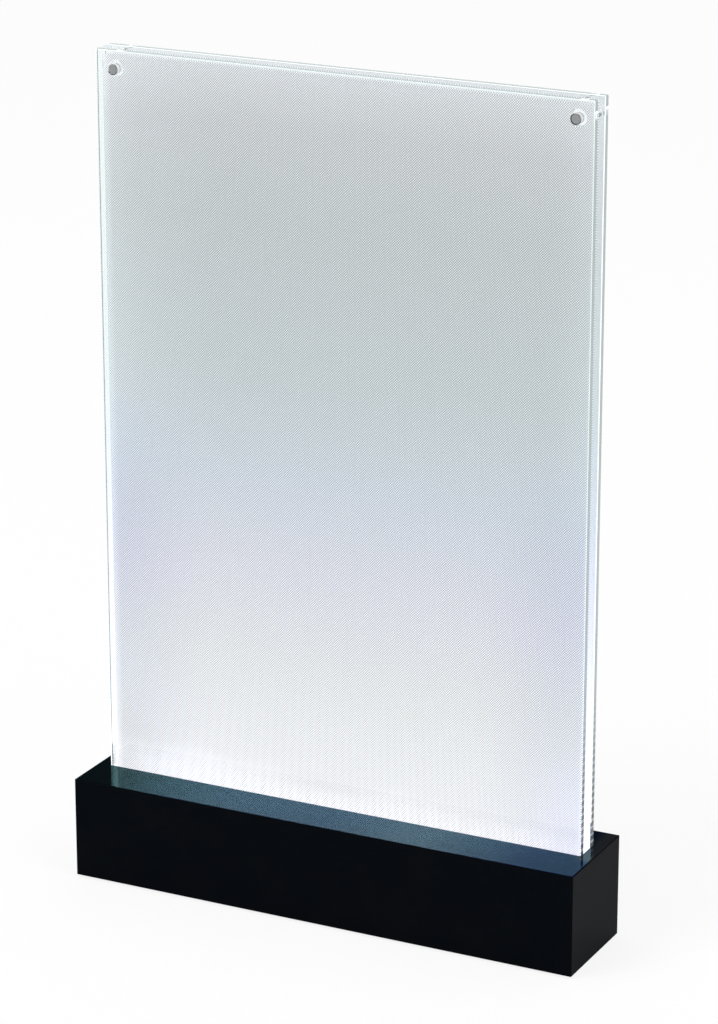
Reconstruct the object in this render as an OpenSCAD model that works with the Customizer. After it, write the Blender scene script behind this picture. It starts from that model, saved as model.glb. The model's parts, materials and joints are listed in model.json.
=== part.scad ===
// Lit poster display: a light guide between two clear covers, standing in a box base.
// Millimetres. X runs to the right, Y to the back and Z up. The origin is under the middle of
// the base, on the surface that it stands on.

/* [Panels] */
// Width of the light guide and of both covers
panel_w = 210; // [190:1:260]
// Height of the panels above the base
panel_h = 298; // [200:1:420]
// Thickness of each clear cover
cover_t = 3; // [2:0.1:4]
// Thickness of the light guide
guide_t = 6; // [5:0.1:8]
// Gap for a printed sheet between the guide and a cover
sheet_gap = 0.4; // [0.3:0.05:0.6]
// Depth to which the covers stand in the base
cover_seat = 13; // [10:0.5:15]
// Depth to which the light guide stands in the base
guide_seat = 19; // [18:0.5:21]
// Bevel along the polished panel edges
panel_bevel = 0.3; // [0.1:0.05:0.6]

/* [Base] */
// Overall height of the base, feet included
base_h = 43; // [41:0.5:60]
// Ledge of the base in front of the panels
front_ledge = 20; // [18:0.2:30]
// Ledge of the base behind the panels
rear_ledge = 13.2; // [12.4:0.2:20]
// Width of the base beyond the panels, at each side
side_margin = 5.5; // [5:0.1:20]
// Thickness of the side walls
wall_t = 2.5; // [2:0.1:2.8]
// Thickness of the top
top_t = 3; // [2.4:0.1:4]
// Thickness of the bottom cover
floor_t = 2.5; // [2.2:0.1:3]
// Rounding of the outer edges
edge_r = 0.5; // [0.4:0.1:1.6]
// Clearance between pieces that are fitted together
fit = 0.2; // [0.1:0.05:0.3]

/* [Cradle] */
// Wall thickness of the panel cradle
cradle_t = 2; // [1.6:0.1:2.3]
// Thickness of the screw lugs
lug_t = 3; // [2:0.1:4]
// Distance between the screw lugs along the base
lug_pitch = 70; // [50:1:80]

/* [Magnets] */
// Diameter of the corner magnets
magnet_d = 4; // [3:0.1:6]
// Distance of the magnets from the side and top edges
magnet_inset = 7.5; // [6:0.1:14]

/* [Light strip] */
// Distance between neighbouring light chips
led_pitch = 10; // [6:0.5:16]
// Width of the strip board
strip_w = 5; // [4.5:0.1:6]
// Thickness of the strip board
strip_t = 1.2; // [0.8:0.1:1.6]
// Height of a light chip
led_h = 0.8; // [0.6:0.05:1.2]

/* [Controls] */
// Height of the switch and the socket above the table
control_z = 12.6; // [12.2:0.1:13.2]
// Depth of the recess round the controls
recess_d = 4; // [3.6:0.1:5]
// Height of the recess
recess_h = 13; // [12:0.1:13.4]
// Place of the switch along the base
switch_x = 14; // [10:0.5:16]
// Place of the charging socket along the base
socket_x = 46; // [44:0.5:60]
// Tilt of the rocker to each side
rocker_tilt = 10; // [6:0.5:12]

/* [Power] */
// Room between the battery pack and the corner bosses
battery_gap = 4.5; // [3:0.5:20]
// Width of the battery pack
battery_w = 24.5; // [18:0.5:26]
// Thickness of the battery pack
battery_t = 8; // [6:0.2:9]
// Width of the control board
board_w = 56; // [50:1:62]
// Depth of the control board
board_d = 24; // [22:0.5:25]
// Thickness of the control board
board_t = 1.6; // [1:0.1:2]
// Diameter of the inner leads
lead_d = 1.3; // [1:0.1:1.6]

/* [Weight and feet] */
// Length of the steel weight
weight_l = 168; // [120:1:170]
// Width of the steel weight
weight_w = 9; // [6:0.2:9.6]
// Height of the steel weight
weight_h = 9; // [6:0.2:11]
// Diameter of a foot
foot_d = 10; // [8:0.2:12]
// Distance of the feet from the corner screws, along the base
foot_step = 11; // [9.5:0.5:30]
// Distance that the feet stand below the base
foot_proud = 1; // [0.6:0.1:1.4]

/* [Hidden] */
$fn = 48;

// Panel stack and the outline of the base
stack_d = 2 * cover_t + guide_t + 2 * sheet_gap;
base_w = panel_w + 2 * side_margin;
base_d = front_ledge + stack_d + rear_ledge;
half_w = base_w / 2;
half_d = base_d / 2;
in_x = half_w - wall_t;
in_y = half_d - wall_t;
front_y = -half_d + front_ledge;
guide_y = front_y + cover_t + sheet_gap;
rear_y = guide_y + guide_t + sheet_gap;
guide_mid = guide_y + guide_t / 2;
panel_top = base_h + panel_h;

// Heights inside the base
plate_z = foot_proud + floor_t;
roof_z = base_h - top_t;
shoulder_z = base_h - cover_seat;
guide_z = base_h - guide_seat;
lamp_gap = 0.4;
strip_z = guide_z - lamp_gap - led_h - strip_t;
cradle_z = strip_z - cradle_t;

// How far a cut runs past the face that it opens, and how far an upright runs into its plate
over = 1;
root = 0.5;

// Slot for the stack and groove for the guide
slot_x = panel_w / 2 + fit;
slot_y0 = front_y - fit;
slot_y1 = rear_y + cover_t + fit;
groove_y0 = guide_y - fit;
groove_y1 = guide_y + guide_t + fit;
pad_l = 5;
lead_room = 5;
strip_half = slot_x - pad_l - lead_room;
lead_hole_x = strip_half + lead_room / 2;

// Ribs inside the front and back walls
rib_t = 1.6;
rib_d = 1;
rib_pitch = base_w * 0.18;

// Cross recess of the screws, as shares of the head, and the room past a screw's tip
cross_w = 0.6;
cross_deep = 0.6;
tip_room = 0.5;

// Screw lugs of the cradle
lug_r = 2.6;
lug_rim = 0.6;
lug_off = 3.2;
lug_drop = 6;
lug_top = roof_z - lug_drop;
lug_y0 = slot_y0 - cradle_t - lug_off;
lug_y1 = slot_y1 + cradle_t + lug_off;
lug_screw_d = 2;
lug_head_d = 4;
lug_head_h = 1.4;
lug_grip = 4.5;

// Screws of the bottom cover
screw_d = 2.8;
screw_head = 5.6;
screw_l = 12;
screw_gap = 0.1;
head_sink = 0.1;
sunk_slot = 0.7;
sunk_deep = 1;
pan_slot = 0.5;
pan_taper = 0.8;
boss_r = 3.5;
boss_in = 5;
boss_merge = 0.2;
boss_x = in_x - boss_in;
boss_y = in_y - boss_r + boss_merge;

// Control recess in the back wall
recess_y = half_d - recess_d;
tub_y = recess_y - wall_t;
tub_t = 2;
recess_r = 1.5;
recess_room = 3.5;
recess_end = 5;
recess_z0 = control_z - recess_h / 2;

// Rocker switch
rocker_w = 10.6;
rocker_half = rocker_w / 2;
rocker_rise = 3.1;
rocker_h = 6.6;
rocker_flank = 0.4;
keel_w = 5.2;
keel_drop = 2.2;
pivot_sink = 0.6;
pivot_y = recess_y - pivot_sink;
pivot_reach = 0.9;
pivot_d = 1.6;
pivot_gap = 0.05;
rocker_reach = norm([rocker_half, rocker_rise]);
rocker_swing = rocker_reach * cos(atan2(rocker_rise, rocker_half) - rocker_tilt);
swing_room = 0.25;
side_room = 0.15;
switch_open_w = 2 * (rocker_swing + swing_room);
switch_open_h = rocker_h + 2 * side_room;
switch_wall = 0.9;
switch_back = 2.5;
switch_r = 0.5;
body_w = switch_open_w + 2 * switch_wall;
body_h = switch_open_h + 2 * switch_wall;
body_l = 10;
bezel_side = 1.2;
bezel_lip = 0.9;
bezel_w = body_w + 2 * bezel_side;
bezel_h = body_h + 2 * bezel_lip;
bezel_t = 1.5;
bezel_r = 0.8;
blade_x = 3.5;
blade_t = 0.8;
blade_w = 4.4;
blade_l = 5;
blade_tip = 0.7;
blade_gap = 0.05;

// Charging socket and its lamp
shell_w = 8.9;
shell_h = 3.2;
shell_t = 0.3;
shell_l = 7.3;
shell_r = shell_h / 2 - 0.01;
core_gap = 0.05;
core_l = 1.7;
tongue_w = 6.7;
tongue_t = 0.7;
tongue_start = 1.5;
tongue_short = 0.8;
pipe_step = 11;
pipe_x = socket_x + pipe_step;
pipe_d = 2;
pipe_rim = 0.5;
pipe_rim_t = 0.8;
pipe_in = 2.4;
pipe_proud = 0.6;
pipe_dome = 0.4;
recess_x0 = switch_x - bezel_w / 2 - recess_room;
recess_x1 = pipe_x + recess_end;

// Control board on posts of the bottom cover
board_top = control_z - shell_h / 2;
board_z = board_top - board_t;
board_left = 16;
board_back = 1;
board_x0 = socket_x - board_left;
board_x1 = board_x0 + board_w;
board_y1 = tub_y - board_back;
board_y0 = board_y1 - board_d;
post_r = 2.4;
post_in = 3;
board_screw_d = 1.8;
board_head_d = 3.4;
board_head_h = 1.2;
board_grip = 3.5;
plug_w = 4.8;
plug_l = 6;
plug_h = 4.4;
plug_in = 0.5;
plug_edge = 0.3;
plug_gap = 0.4;
plug_z = board_top + plug_h / 2;
lead_pitch = 2.4;
battery_plug_y = board_y0 + plug_w / 2 + plug_edge;
switch_plug_y = battery_plug_y + plug_w + plug_gap;
post_at = [
  [board_x0 + post_in, switch_plug_y + plug_w / 2 + post_in],
  [board_x1 - post_in, board_y0 + post_in],
  [board_x0 + post_in, board_y1 - post_in],
  [board_x1 - post_in, board_y1 - post_in]
];

// Battery pack behind the weight
pad_t = 0.8;
tape_w = 12;
tape_in = 3;
tape_share = 0.3;
lead_run = 16;
lead_gap = 0.65;
battery_r = 2;
battery_back = 3.5;
battery_x0 = boss_r + battery_gap - boss_x;
battery_x1 = switch_x - body_w / 2 - lead_run;
battery_l = battery_x1 - battery_x0;
battery_y1 = in_y - battery_back;
battery_y0 = battery_y1 - battery_w;
battery_z = plate_z + pad_t;
fence_t = 1.2;
fence_h = 3.6;
fence_gap = 0.3;
fence_in = 3;

// Steel weight along the front wall
weight_room = 1.3;
weight_y0 = -in_y + weight_room;
weight_fence_in = 1;
weight_screw_x = weight_l * 0.36;
weight_grip = 5;
foot_sink = 1;
foot_round = 0.4;
foot_h = foot_proud + foot_sink;
foot_x = boss_x - foot_step;
foot_shift = 3.2;
foot_y = boss_y - foot_shift;

// Light chips and the ends of their strip
chip_w = 3.5;
chip_d = 2.8;
strip_end = 3;

// Play of a magnet in its panel and the bevel of its rim
magnet_play = 0.1;
magnet_edge = 0.2;

// Rectangle with rounded corners about the origin
module round_rect(w, d, r) {
  square([w - 2 * r, d], center = true);
  square([w, d - 2 * r], center = true);
  for (x = [-1, 1], y = [-1, 1])
    translate([x * (w / 2 - r), y * (d / 2 - r)])
      circle(r);
}

// Outline of the base from the side, with rounded upper corners
module base_outline(w) {
  translate([-w / 2, 0])
    square([w, base_h - edge_r]);
  translate([-w / 2 + edge_r, 0])
    square([w - 2 * edge_r, base_h]);
  for (s = [-1, 1])
    translate([s * (w / 2 - edge_r), base_h - edge_r])
      circle(edge_r);
}

// Solid block of the base with rounded upright and top edges
module base_block() {
  intersection() {
    translate([0, 0, foot_proud])
      linear_extrude(base_h - foot_proud)
        round_rect(base_w, base_d, edge_r);
    rotate([90, 0, 90])
      translate([0, 0, -half_w])
        linear_extrude(base_w)
          base_outline(base_d);
    rotate([90, 0, 0])
      translate([0, 0, -half_d])
        linear_extrude(base_d)
          base_outline(base_w);
  }
}

// Opening in the back wall: a rounded rectangle from y0 to y1
module back_opening(x, z, w, h, r, y0, y1) {
  translate([x, y1, z])
    rotate([90, 0, 0])
      linear_extrude(y1 - y0)
        round_rect(w, h, r);
}

// Countersunk screw, head below and shank up, with a cross recess
module sunk_screw(d, head, l) {
  difference() {
    union() {
      cylinder(h = (head - d) / 2, d1 = head, d2 = d);
      cylinder(h = l, d = d);
    }
    for (a = [0, 90])
      rotate(a)
        translate([-head * cross_w / 2, -sunk_slot / 2, -over])
          cube([head * cross_w, sunk_slot, over + sunk_deep]);
  }
}

// Hole for a countersunk screw
module sunk_hole(d, head, l) {
  translate([0, 0, -over])
    cylinder(h = over + head_sink, d = head + 2 * screw_gap);
  translate([0, 0, head_sink])
    cylinder(h = (head - d) / 2, d1 = head + 2 * screw_gap, d2 = d + 2 * screw_gap);
  cylinder(h = l, d = d + 2 * screw_gap);
}

// Round-headed screw, head below and shank up, with a cross recess
module pan_screw(d, head, head_h, l) {
  difference() {
    union() {
      translate([0, 0, -head_h])
        cylinder(h = head_h, d1 = head * pan_taper, d2 = head);
      cylinder(h = l, d = d);
    }
    for (a = [0, 90])
      rotate(a)
        translate([-head * cross_w / 2, -pan_slot / 2, -head_h - over])
          cube([head * cross_w, pan_slot, over + head_h * cross_deep]);
  }
}

// Moulded box with the panel slot, the control recess, screw bosses and wall ribs
module base_housing() {
  color([0.03, 0.03, 0.035])
  difference() {
    union() {
      difference() {
        base_block();
        translate([-in_x, -in_y, 0])
          cube([2 * in_x, 2 * in_y, roof_z]);
      }
      // Tub that holds the controls behind the back wall
      translate([recess_x0 - tub_t, tub_y, recess_z0 - tub_t])
        cube([recess_x1 - recess_x0 + 2 * tub_t, half_d - wall_t / 2 - tub_y, recess_h + 2 * tub_t]);
      for (x = [-1, 1], y = [-1, 1])
        translate([x * boss_x, y * boss_y, plate_z])
          cylinder(h = roof_z - plate_z + top_t / 2, r = boss_r);
      for (k = [-1, 0, 1], y = [lug_y0, lug_y1])
        translate([k * lug_pitch, y, lug_top])
          cylinder(h = roof_z - lug_top + top_t / 2, r = lug_r);
      for (k = [-2 : 2])
        translate([k * rib_pitch - rib_t / 2, -in_y - wall_t / 2, plate_z])
          cube([rib_t, wall_t / 2 + rib_d, roof_z - plate_z + top_t / 2]);
      for (k = [-2 : -1])
        translate([k * rib_pitch - rib_t / 2, in_y - rib_d, plate_z])
          cube([rib_t, wall_t / 2 + rib_d, roof_z - plate_z + top_t / 2]);
    }
    translate([-slot_x, slot_y0, roof_z - over])
      cube([2 * slot_x, slot_y1 - slot_y0, top_t + 2 * over]);
    back_opening((recess_x0 + recess_x1) / 2, control_z, recess_x1 - recess_x0, recess_h, recess_r,
      recess_y, half_d + over);
    back_opening(switch_x, control_z, body_w + 2 * fit, body_h + 2 * fit, switch_r,
      tub_y - over, recess_y + over);
    back_opening(socket_x, control_z, shell_w + 2 * fit, shell_h + 2 * fit, shell_h / 2,
      tub_y - over, recess_y + over);
    translate([pipe_x, tub_y - over, control_z])
      rotate([-90, 0, 0])
        cylinder(h = wall_t + 2 * over, d = pipe_d + fit);
    for (x = [-1, 1], y = [-1, 1])
      translate([x * boss_x, y * boss_y, plate_z - over])
        cylinder(h = screw_l + over, d = screw_d + 2 * screw_gap);
    for (k = [-1, 0, 1], y = [lug_y0, lug_y1])
      translate([k * lug_pitch, y, lug_top - over])
        cylinder(h = over + lug_grip + tip_room, d = lug_screw_d + 2 * screw_gap);
  }
}

// Plate that closes the base, with board posts and fences for the battery and the weight
module bottom_cover() {
  color([0.05, 0.05, 0.055])
  difference() {
    union() {
      translate([fit - in_x, fit - in_y, foot_proud])
        cube([2 * (in_x - fit), 2 * (in_y - fit), floor_t]);
      for (p = post_at)
        translate([p[0], p[1], plate_z - root])
          cylinder(h = board_z - plate_z + root, r = post_r);
      for (x = [battery_x0 - fence_gap - fence_t, battery_x1 + fence_gap])
        translate([x, battery_y0 + fence_in, plate_z - root])
          cube([fence_t, battery_w - 2 * fence_in, fence_h + root]);
      for (y = [battery_y0 - fence_gap - fence_t, battery_y1 + fence_gap])
        translate([battery_x0 + 2 * fence_in, y, plate_z - root])
          cube([battery_l - 4 * fence_in, fence_t, fence_h + root]);
      for (s = [-1, 1])
        translate([s * (weight_l / 2 + fence_gap + fence_t / 2) - fence_t / 2,
          weight_y0 + weight_fence_in, plate_z - root])
          cube([fence_t, weight_w - 2 * weight_fence_in, fence_h + root]);
    }
    for (x = [-1, 1], y = [-1, 1])
      translate([x * boss_x, y * boss_y, foot_proud])
        sunk_hole(screw_d, screw_head, floor_t + over);
    for (s = [-1, 1])
      translate([s * weight_screw_x, weight_y0 + weight_w / 2, foot_proud])
        sunk_hole(screw_d, screw_head, floor_t + over);
    for (x = [-1, 1], y = [-1, 1])
      translate([x * foot_x, y * foot_y, foot_proud - over])
        cylinder(h = over + foot_sink, d = foot_d + 2 * fit);
    for (p = post_at)
      translate([p[0], p[1], board_z - board_grip - tip_room])
        cylinder(h = tip_room + board_grip + over, d = board_screw_d + 2 * screw_gap);
  }
}

// Four countersunk screws that hold the bottom cover
module cover_screws() {
  color([0.35, 0.35, 0.37])
  for (x = [-1, 1], y = [-1, 1])
    translate([x * boss_x, y * boss_y, foot_proud + head_sink])
      sunk_screw(screw_d, screw_head, screw_l);
}

// Four feet with a rounded lower rim
module rubber_feet() {
  color([0.08, 0.08, 0.08])
  for (x = [-1, 1], y = [-1, 1])
    translate([x * foot_x, y * foot_y, 0])
      rotate_extrude()
        polygon([
          [0, 0], [foot_d / 2 - foot_round, 0], [foot_d / 2, foot_round],
          [foot_d / 2, foot_h], [0, foot_h]
        ]);
}

// Outer and inner outlines of the stepped cradle, seen along the base
module cradle_outer() {
  polygon([
    [slot_y0 - cradle_t, roof_z], [slot_y0 - cradle_t, shoulder_z - cradle_t],
    [groove_y0 - cradle_t, shoulder_z - cradle_t], [groove_y0 - cradle_t, cradle_z],
    [groove_y1 + cradle_t, cradle_z], [groove_y1 + cradle_t, shoulder_z - cradle_t],
    [slot_y1 + cradle_t, shoulder_z - cradle_t], [slot_y1 + cradle_t, roof_z]
  ]);
}
module cradle_inner() {
  polygon([
    [slot_y0, roof_z + over], [slot_y0, shoulder_z], [groove_y0, shoulder_z], [groove_y0, strip_z],
    [groove_y1, strip_z], [groove_y1, shoulder_z], [slot_y1, shoulder_z], [slot_y1, roof_z + over]
  ]);
}

// Screw lug on the cradle's wall, pointing away from the stack
module cradle_lug(x, y, dir) {
  r = lug_r + lug_rim;
  translate([x, y, lug_top - lug_t])
    linear_extrude(lug_t) {
      circle(r);
      translate([-r, dir > 0 ? -lug_off - cradle_t / 2 : 0])
        square([2 * r, lug_off + cradle_t / 2]);
    }
}

// Stepped cradle: wide above for the covers, narrow below for the guide and its light strip
module panel_cradle() {
  color([0.82, 0.82, 0.80])
  difference() {
    union() {
      difference() {
        rotate([90, 0, 90])
          translate([0, 0, -slot_x - cradle_t])
            linear_extrude(2 * (slot_x + cradle_t))
              cradle_outer();
        rotate([90, 0, 90])
          translate([0, 0, -slot_x])
            linear_extrude(2 * slot_x)
              cradle_inner();
      }
      for (s = [-1, 1])
        translate([s * (slot_x - pad_l / 2) - pad_l / 2, groove_y0 - cradle_t / 2, strip_z - cradle_t / 2])
          cube([pad_l, groove_y1 - groove_y0 + cradle_t, guide_z - strip_z + cradle_t / 2]);
      for (k = [-1, 0, 1]) {
        cradle_lug(k * lug_pitch, lug_y0, -1);
        cradle_lug(k * lug_pitch, lug_y1, 1);
      }
    }
    for (k = [-1, 0, 1], y = [lug_y0, lug_y1])
      translate([k * lug_pitch, y, lug_top - lug_t - over])
        cylinder(h = lug_t + 2 * over, d = lug_screw_d + 2 * screw_gap);
    for (s = [-1, 1])
      translate([lead_hole_x, guide_mid + s * lead_pitch / 2, cradle_z - over])
        cylinder(h = cradle_t + 2 * over, d = lead_d + 2 * lead_gap);
  }
}

// Six screws that hold the cradle under the top
module cradle_screws() {
  color([0.35, 0.35, 0.37])
  for (k = [-1, 0, 1], y = [lug_y0, lug_y1])
    translate([k * lug_pitch, y, lug_top - lug_t])
      pan_screw(lug_screw_d, lug_head_d, lug_head_h, lug_t + lug_grip);
}

// Metal-backed strip board under the foot of the guide
module light_strip_board() {
  color([0.85, 0.86, 0.84])
  translate([-strip_half, guide_mid - strip_w / 2, strip_z])
    cube([2 * strip_half, strip_w, strip_t]);
}

// Row of light chips that face the foot of the guide
module light_chips() {
  chips = floor(2 * (strip_half - strip_end) / led_pitch) + 1;
  color([0.95, 0.85, 0.45])
  for (k = [0 : chips - 1])
    translate([(k - (chips - 1) / 2) * led_pitch - chip_w / 2, guide_mid - chip_d / 2, strip_z + strip_t])
      cube([chip_w, chip_d, led_h]);
}

// Plate standing on z = 0 with its front face at y = 0 and bevelled upright and top edges
module bevelled_plate(t, h) {
  w = panel_w;
  b = panel_bevel;
  intersection() {
    linear_extrude(h)
      polygon([
        [b - w / 2, 0], [w / 2 - b, 0], [w / 2, b], [w / 2, t - b],
        [w / 2 - b, t], [b - w / 2, t], [-w / 2, t - b], [-w / 2, b]
      ]);
    rotate([90, 0, 90])
      translate([0, 0, -w / 2])
        linear_extrude(w)
          polygon([[0, 0], [t, 0], [t, h - b], [t - b, h], [b, h], [0, h - b]]);
  }
}

// Panel of one thickness with a magnet hole near each upper corner
module drilled_panel(y, z, t) {
  difference() {
    translate([0, y, z])
      bevelled_plate(t, panel_top - z);
    for (s = [-1, 1])
      translate([s * (panel_w / 2 - magnet_inset), y - over, panel_top - magnet_inset])
        rotate([-90, 0, 0])
          cylinder(h = t + 2 * over, d = magnet_d + 2 * fit);
  }
}

// Pair of disc magnets for a panel of one thickness
module magnet_pair(y, t) {
  r = magnet_d / 2;
  e = magnet_edge;
  h = t - 2 * magnet_play;
  for (s = [-1, 1])
    translate([s * (panel_w / 2 - magnet_inset), y + magnet_play, panel_top - magnet_inset])
      rotate([-90, 0, 0])
        rotate_extrude()
          polygon([[0, 0], [r - e, 0], [r, e], [r, h - e], [r - e, h], [0, h]]);
}

// Light guide: the lit plate in the middle of the stack
module light_guide() {
  color([0.90, 0.94, 0.96])
  drilled_panel(guide_y, guide_z, guide_t);
}

// Clear cover in front of the guide
module front_cover() {
  color([0.85, 0.92, 0.92])
  drilled_panel(front_y, shoulder_z, cover_t);
}

// Clear cover behind the guide
module rear_cover() {
  color([0.85, 0.92, 0.92])
  drilled_panel(rear_y, shoulder_z, cover_t);
}

// Magnets let into the guide
module guide_magnets() {
  color([0.55, 0.55, 0.54])
  magnet_pair(guide_y, guide_t);
}

// Magnets let into the front cover
module front_magnets() {
  color([0.55, 0.55, 0.54])
  magnet_pair(front_y, cover_t);
}

// Magnets let into the rear cover
module rear_magnets() {
  color([0.55, 0.55, 0.54])
  magnet_pair(rear_y, cover_t);
}

// Charging and dimming board on its posts
module control_board() {
  color([0.05, 0.25, 0.12])
  difference() {
    translate([board_x0, board_y0, board_z])
      cube([board_w, board_d, board_t]);
    for (p = post_at)
      translate([p[0], p[1], board_z - over])
        cylinder(h = board_t + 2 * over, d = board_screw_d + 2 * screw_gap);
  }
}

// Package on the board; x counts from the middle of the socket and y from the board's front edge
module package(x, y, size) {
  translate([socket_x + x, board_y0 + y, board_top])
    cube(size);
}

// Charging chip, coil, driver and capacitors on the board, and the small lamp behind the light pipe
module board_parts() {
  color([0.12, 0.12, 0.13]) {
    package(4, 10, [5, 5, 1]);
    package(14, 3, [6.4, 6.4, 3.2]);
    package(16, 13, [4, 5, 1.5]);
    for (k = [0 : 3])
      package(3.2 * k - 6, 6, [1.2, 2, 1]);
    for (k = [0 : 2])
      package(2.6 * k + 3, 17.5, [1.2, 2, 0.9]);
    package(pipe_step - 0.8, board_d - 3.6, [1.6, 0.8, 0.7]);
  }
}

// Plugs for the battery, the switch and the light strip
module board_connectors() {
  color([0.90, 0.89, 0.84]) {
    for (y = [battery_plug_y, switch_plug_y])
      translate([board_x0 + plug_in, y - plug_w / 2, board_top])
        cube([plug_l, plug_w, plug_h]);
    translate([board_x1 - plug_in - plug_l, guide_mid - plug_w / 2, board_top])
      cube([plug_l, plug_w, plug_h]);
  }
}

// Four screws that hold the board on its posts
module board_screws() {
  color([0.6, 0.6, 0.6])
  for (p = post_at)
    translate([p[0], p[1], board_top])
      rotate([180, 0, 0])
        pan_screw(board_screw_d, board_head_d, board_head_h, board_t + board_grip);
}

// Metal shell of the charging socket, open at the back of the base
module socket_shell() {
  color([0.72, 0.72, 0.72])
  difference() {
    back_opening(socket_x, control_z, shell_w, shell_h, shell_r, recess_y - shell_l, recess_y);
    back_opening(socket_x, control_z, shell_w - 2 * shell_t, shell_h - 2 * shell_t,
      shell_r - shell_t, recess_y - shell_l + shell_t, recess_y + over);
  }
}

// Insulating core of the socket with its tongue
module socket_core() {
  inset = shell_t + core_gap;
  back_y = recess_y - shell_l;
  color([0.06, 0.06, 0.06]) {
    back_opening(socket_x, control_z, shell_w - 2 * inset, shell_h - 2 * inset,
      shell_r - inset, back_y + shell_t, back_y + shell_t + core_l);
    translate([socket_x - tongue_w / 2, back_y + tongue_start, control_z - tongue_t / 2])
      cube([tongue_w, shell_l - tongue_start - tongue_short, tongue_t]);
  }
}

// Clear pin that carries the charging lamp's light through the back wall
module charge_light_pipe() {
  r = pipe_d / 2;
  rim_z = pipe_in - pipe_rim_t;
  tip = pipe_in + wall_t + pipe_proud;
  color([0.9, 0.93, 0.95])
  translate([pipe_x, tub_y - pipe_in, control_z])
    rotate([-90, 0, 0])
      rotate_extrude()
        polygon([
          [0, 0], [r, 0], [r, rim_z], [r + pipe_rim, rim_z], [r + pipe_rim, pipe_in], [r, pipe_in],
          [r, tip - pipe_dome], [r - pipe_dome, tip - pipe_dome / 4], [0, tip]
        ]);
}

// Rocker switch body with its bezel, pushed into the recess from outside
module switch_body() {
  color([0.07, 0.07, 0.075])
  difference() {
    union() {
      back_opening(switch_x, control_z, bezel_w, bezel_h, bezel_r, recess_y, recess_y + bezel_t);
      translate([switch_x - body_w / 2, recess_y - body_l, control_z - body_h / 2])
        cube([body_w, body_l + bezel_t / 2, body_h]);
    }
    translate([switch_x - switch_open_w / 2, recess_y - body_l + switch_back, control_z - switch_open_h / 2])
      cube([switch_open_w, body_l + bezel_t, switch_open_h]);
    translate([switch_x, pivot_y, control_z - body_h / 2])
      cylinder(h = body_h, d = pivot_d + 2 * pivot_gap);
    for (s = [-1, 1])
      translate([switch_x + s * blade_x - blade_t / 2 - blade_gap, recess_y - body_l - over,
        control_z - blade_w / 2 - blade_gap])
        cube([blade_t + 2 * blade_gap, switch_back + 2 * over, blade_w + 2 * blade_gap]);
  }
}

// Rocker on its two pivots, tilted to the side that is switched on
module switch_rocker() {
  color([0.09, 0.09, 0.095])
  translate([switch_x, pivot_y, control_z])
    rotate([0, 0, rocker_tilt]) {
      translate([0, 0, -rocker_h / 2])
        linear_extrude(rocker_h)
          polygon([
            [-rocker_half, rocker_rise], [-rocker_half, rocker_flank], [-keel_w / 2, -keel_drop],
            [keel_w / 2, -keel_drop], [rocker_half, rocker_flank], [rocker_half, rocker_rise],
            [0, rocker_rise - rocker_half * tan(rocker_tilt)]
          ]);
      translate([0, 0, -rocker_h / 2 - pivot_reach])
        cylinder(h = rocker_h + 2 * pivot_reach, d = pivot_d);
    }
}

// Two blades behind the switch
module switch_terminals() {
  color([0.78, 0.66, 0.36])
  for (s = [-1, 1])
    translate([switch_x + s * blade_x - blade_t / 2, recess_y - body_l - blade_l, control_z - blade_w / 2])
      cube([blade_t, blade_l + switch_back + blade_tip, blade_w]);
}

// Flat cell pack with rounded long edges
module battery_pack() {
  color([0.10, 0.22, 0.45])
  translate([battery_x0, (battery_y0 + battery_y1) / 2, battery_z + battery_t / 2])
    rotate([90, 0, 90])
      linear_extrude(battery_l)
        round_rect(battery_w, battery_t, battery_r);
}

// Two adhesive pads under the pack
module battery_pads() {
  color([0.85, 0.85, 0.82])
  for (s = [-1, 1])
    translate([battery_x0 + battery_l * (0.5 + s * tape_share) - tape_w / 2, battery_y0 + tape_in, plate_z])
      cube([tape_w, battery_w - 2 * tape_in, pad_t]);
}

// Points along a path whose corners are eased
function ease(a, b, c, t) = (1 - t) * (1 - t) * a + 2 * t * (1 - t) * b + t * t * c;
function eased_path(p) = concat(
  [p[0]],
  [for (i = [1 : len(p) - 2], t = [0.1, 0.3, 0.5, 0.7, 0.9])
    ease((p[i - 1] + p[i]) / 2, p[i], (p[i] + p[i + 1]) / 2, t)],
  [p[len(p) - 1]]
);
function unit(v) = v / norm(v);

// Round lead along a path; side is a direction that the path never takes
module lead(points, side) {
  p = eased_path(points);
  n = len(p);
  sides = 8;
  ring = [for (i = [0 : n - 1])
    let (
      t = unit(p[min(i + 1, n - 1)] - p[max(i - 1, 0)]),
      u = unit(cross(t, side)),
      v = cross(u, t)
    )
    for (k = [0 : sides - 1])
      p[i] + lead_d / 2 * (cos(k * 360 / sides) * u + sin(k * 360 / sides) * v)];
  walls = [for (i = [0 : n - 2], k = [0 : sides - 1])
    let (k2 = (k + 1) % sides)
    [i * sides + k, i * sides + k2, (i + 1) * sides + k2, (i + 1) * sides + k]];
  ends = [
    [for (k = [sides - 1 : -1 : 0]) k],
    [for (k = [0 : sides - 1]) (n - 1) * sides + k]
  ];
  polyhedron(points = ring, faces = concat(walls, ends), convexity = 6);
}

// Two leads from the pack to its plug
module battery_leads() {
  color([0.65, 0.06, 0.05])
  for (s = [-1, 1]) {
    y = battery_plug_y + s * lead_pitch / 2;
    z = battery_z + battery_t * 0.6;
    lead([
      [battery_x1, y, z], [battery_x1 + 8, y, z],
      [board_x0 - 9, y, plug_z], [board_x0 + plug_in, y, plug_z]
    ], [0, 1, 0]);
  }
}

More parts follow.
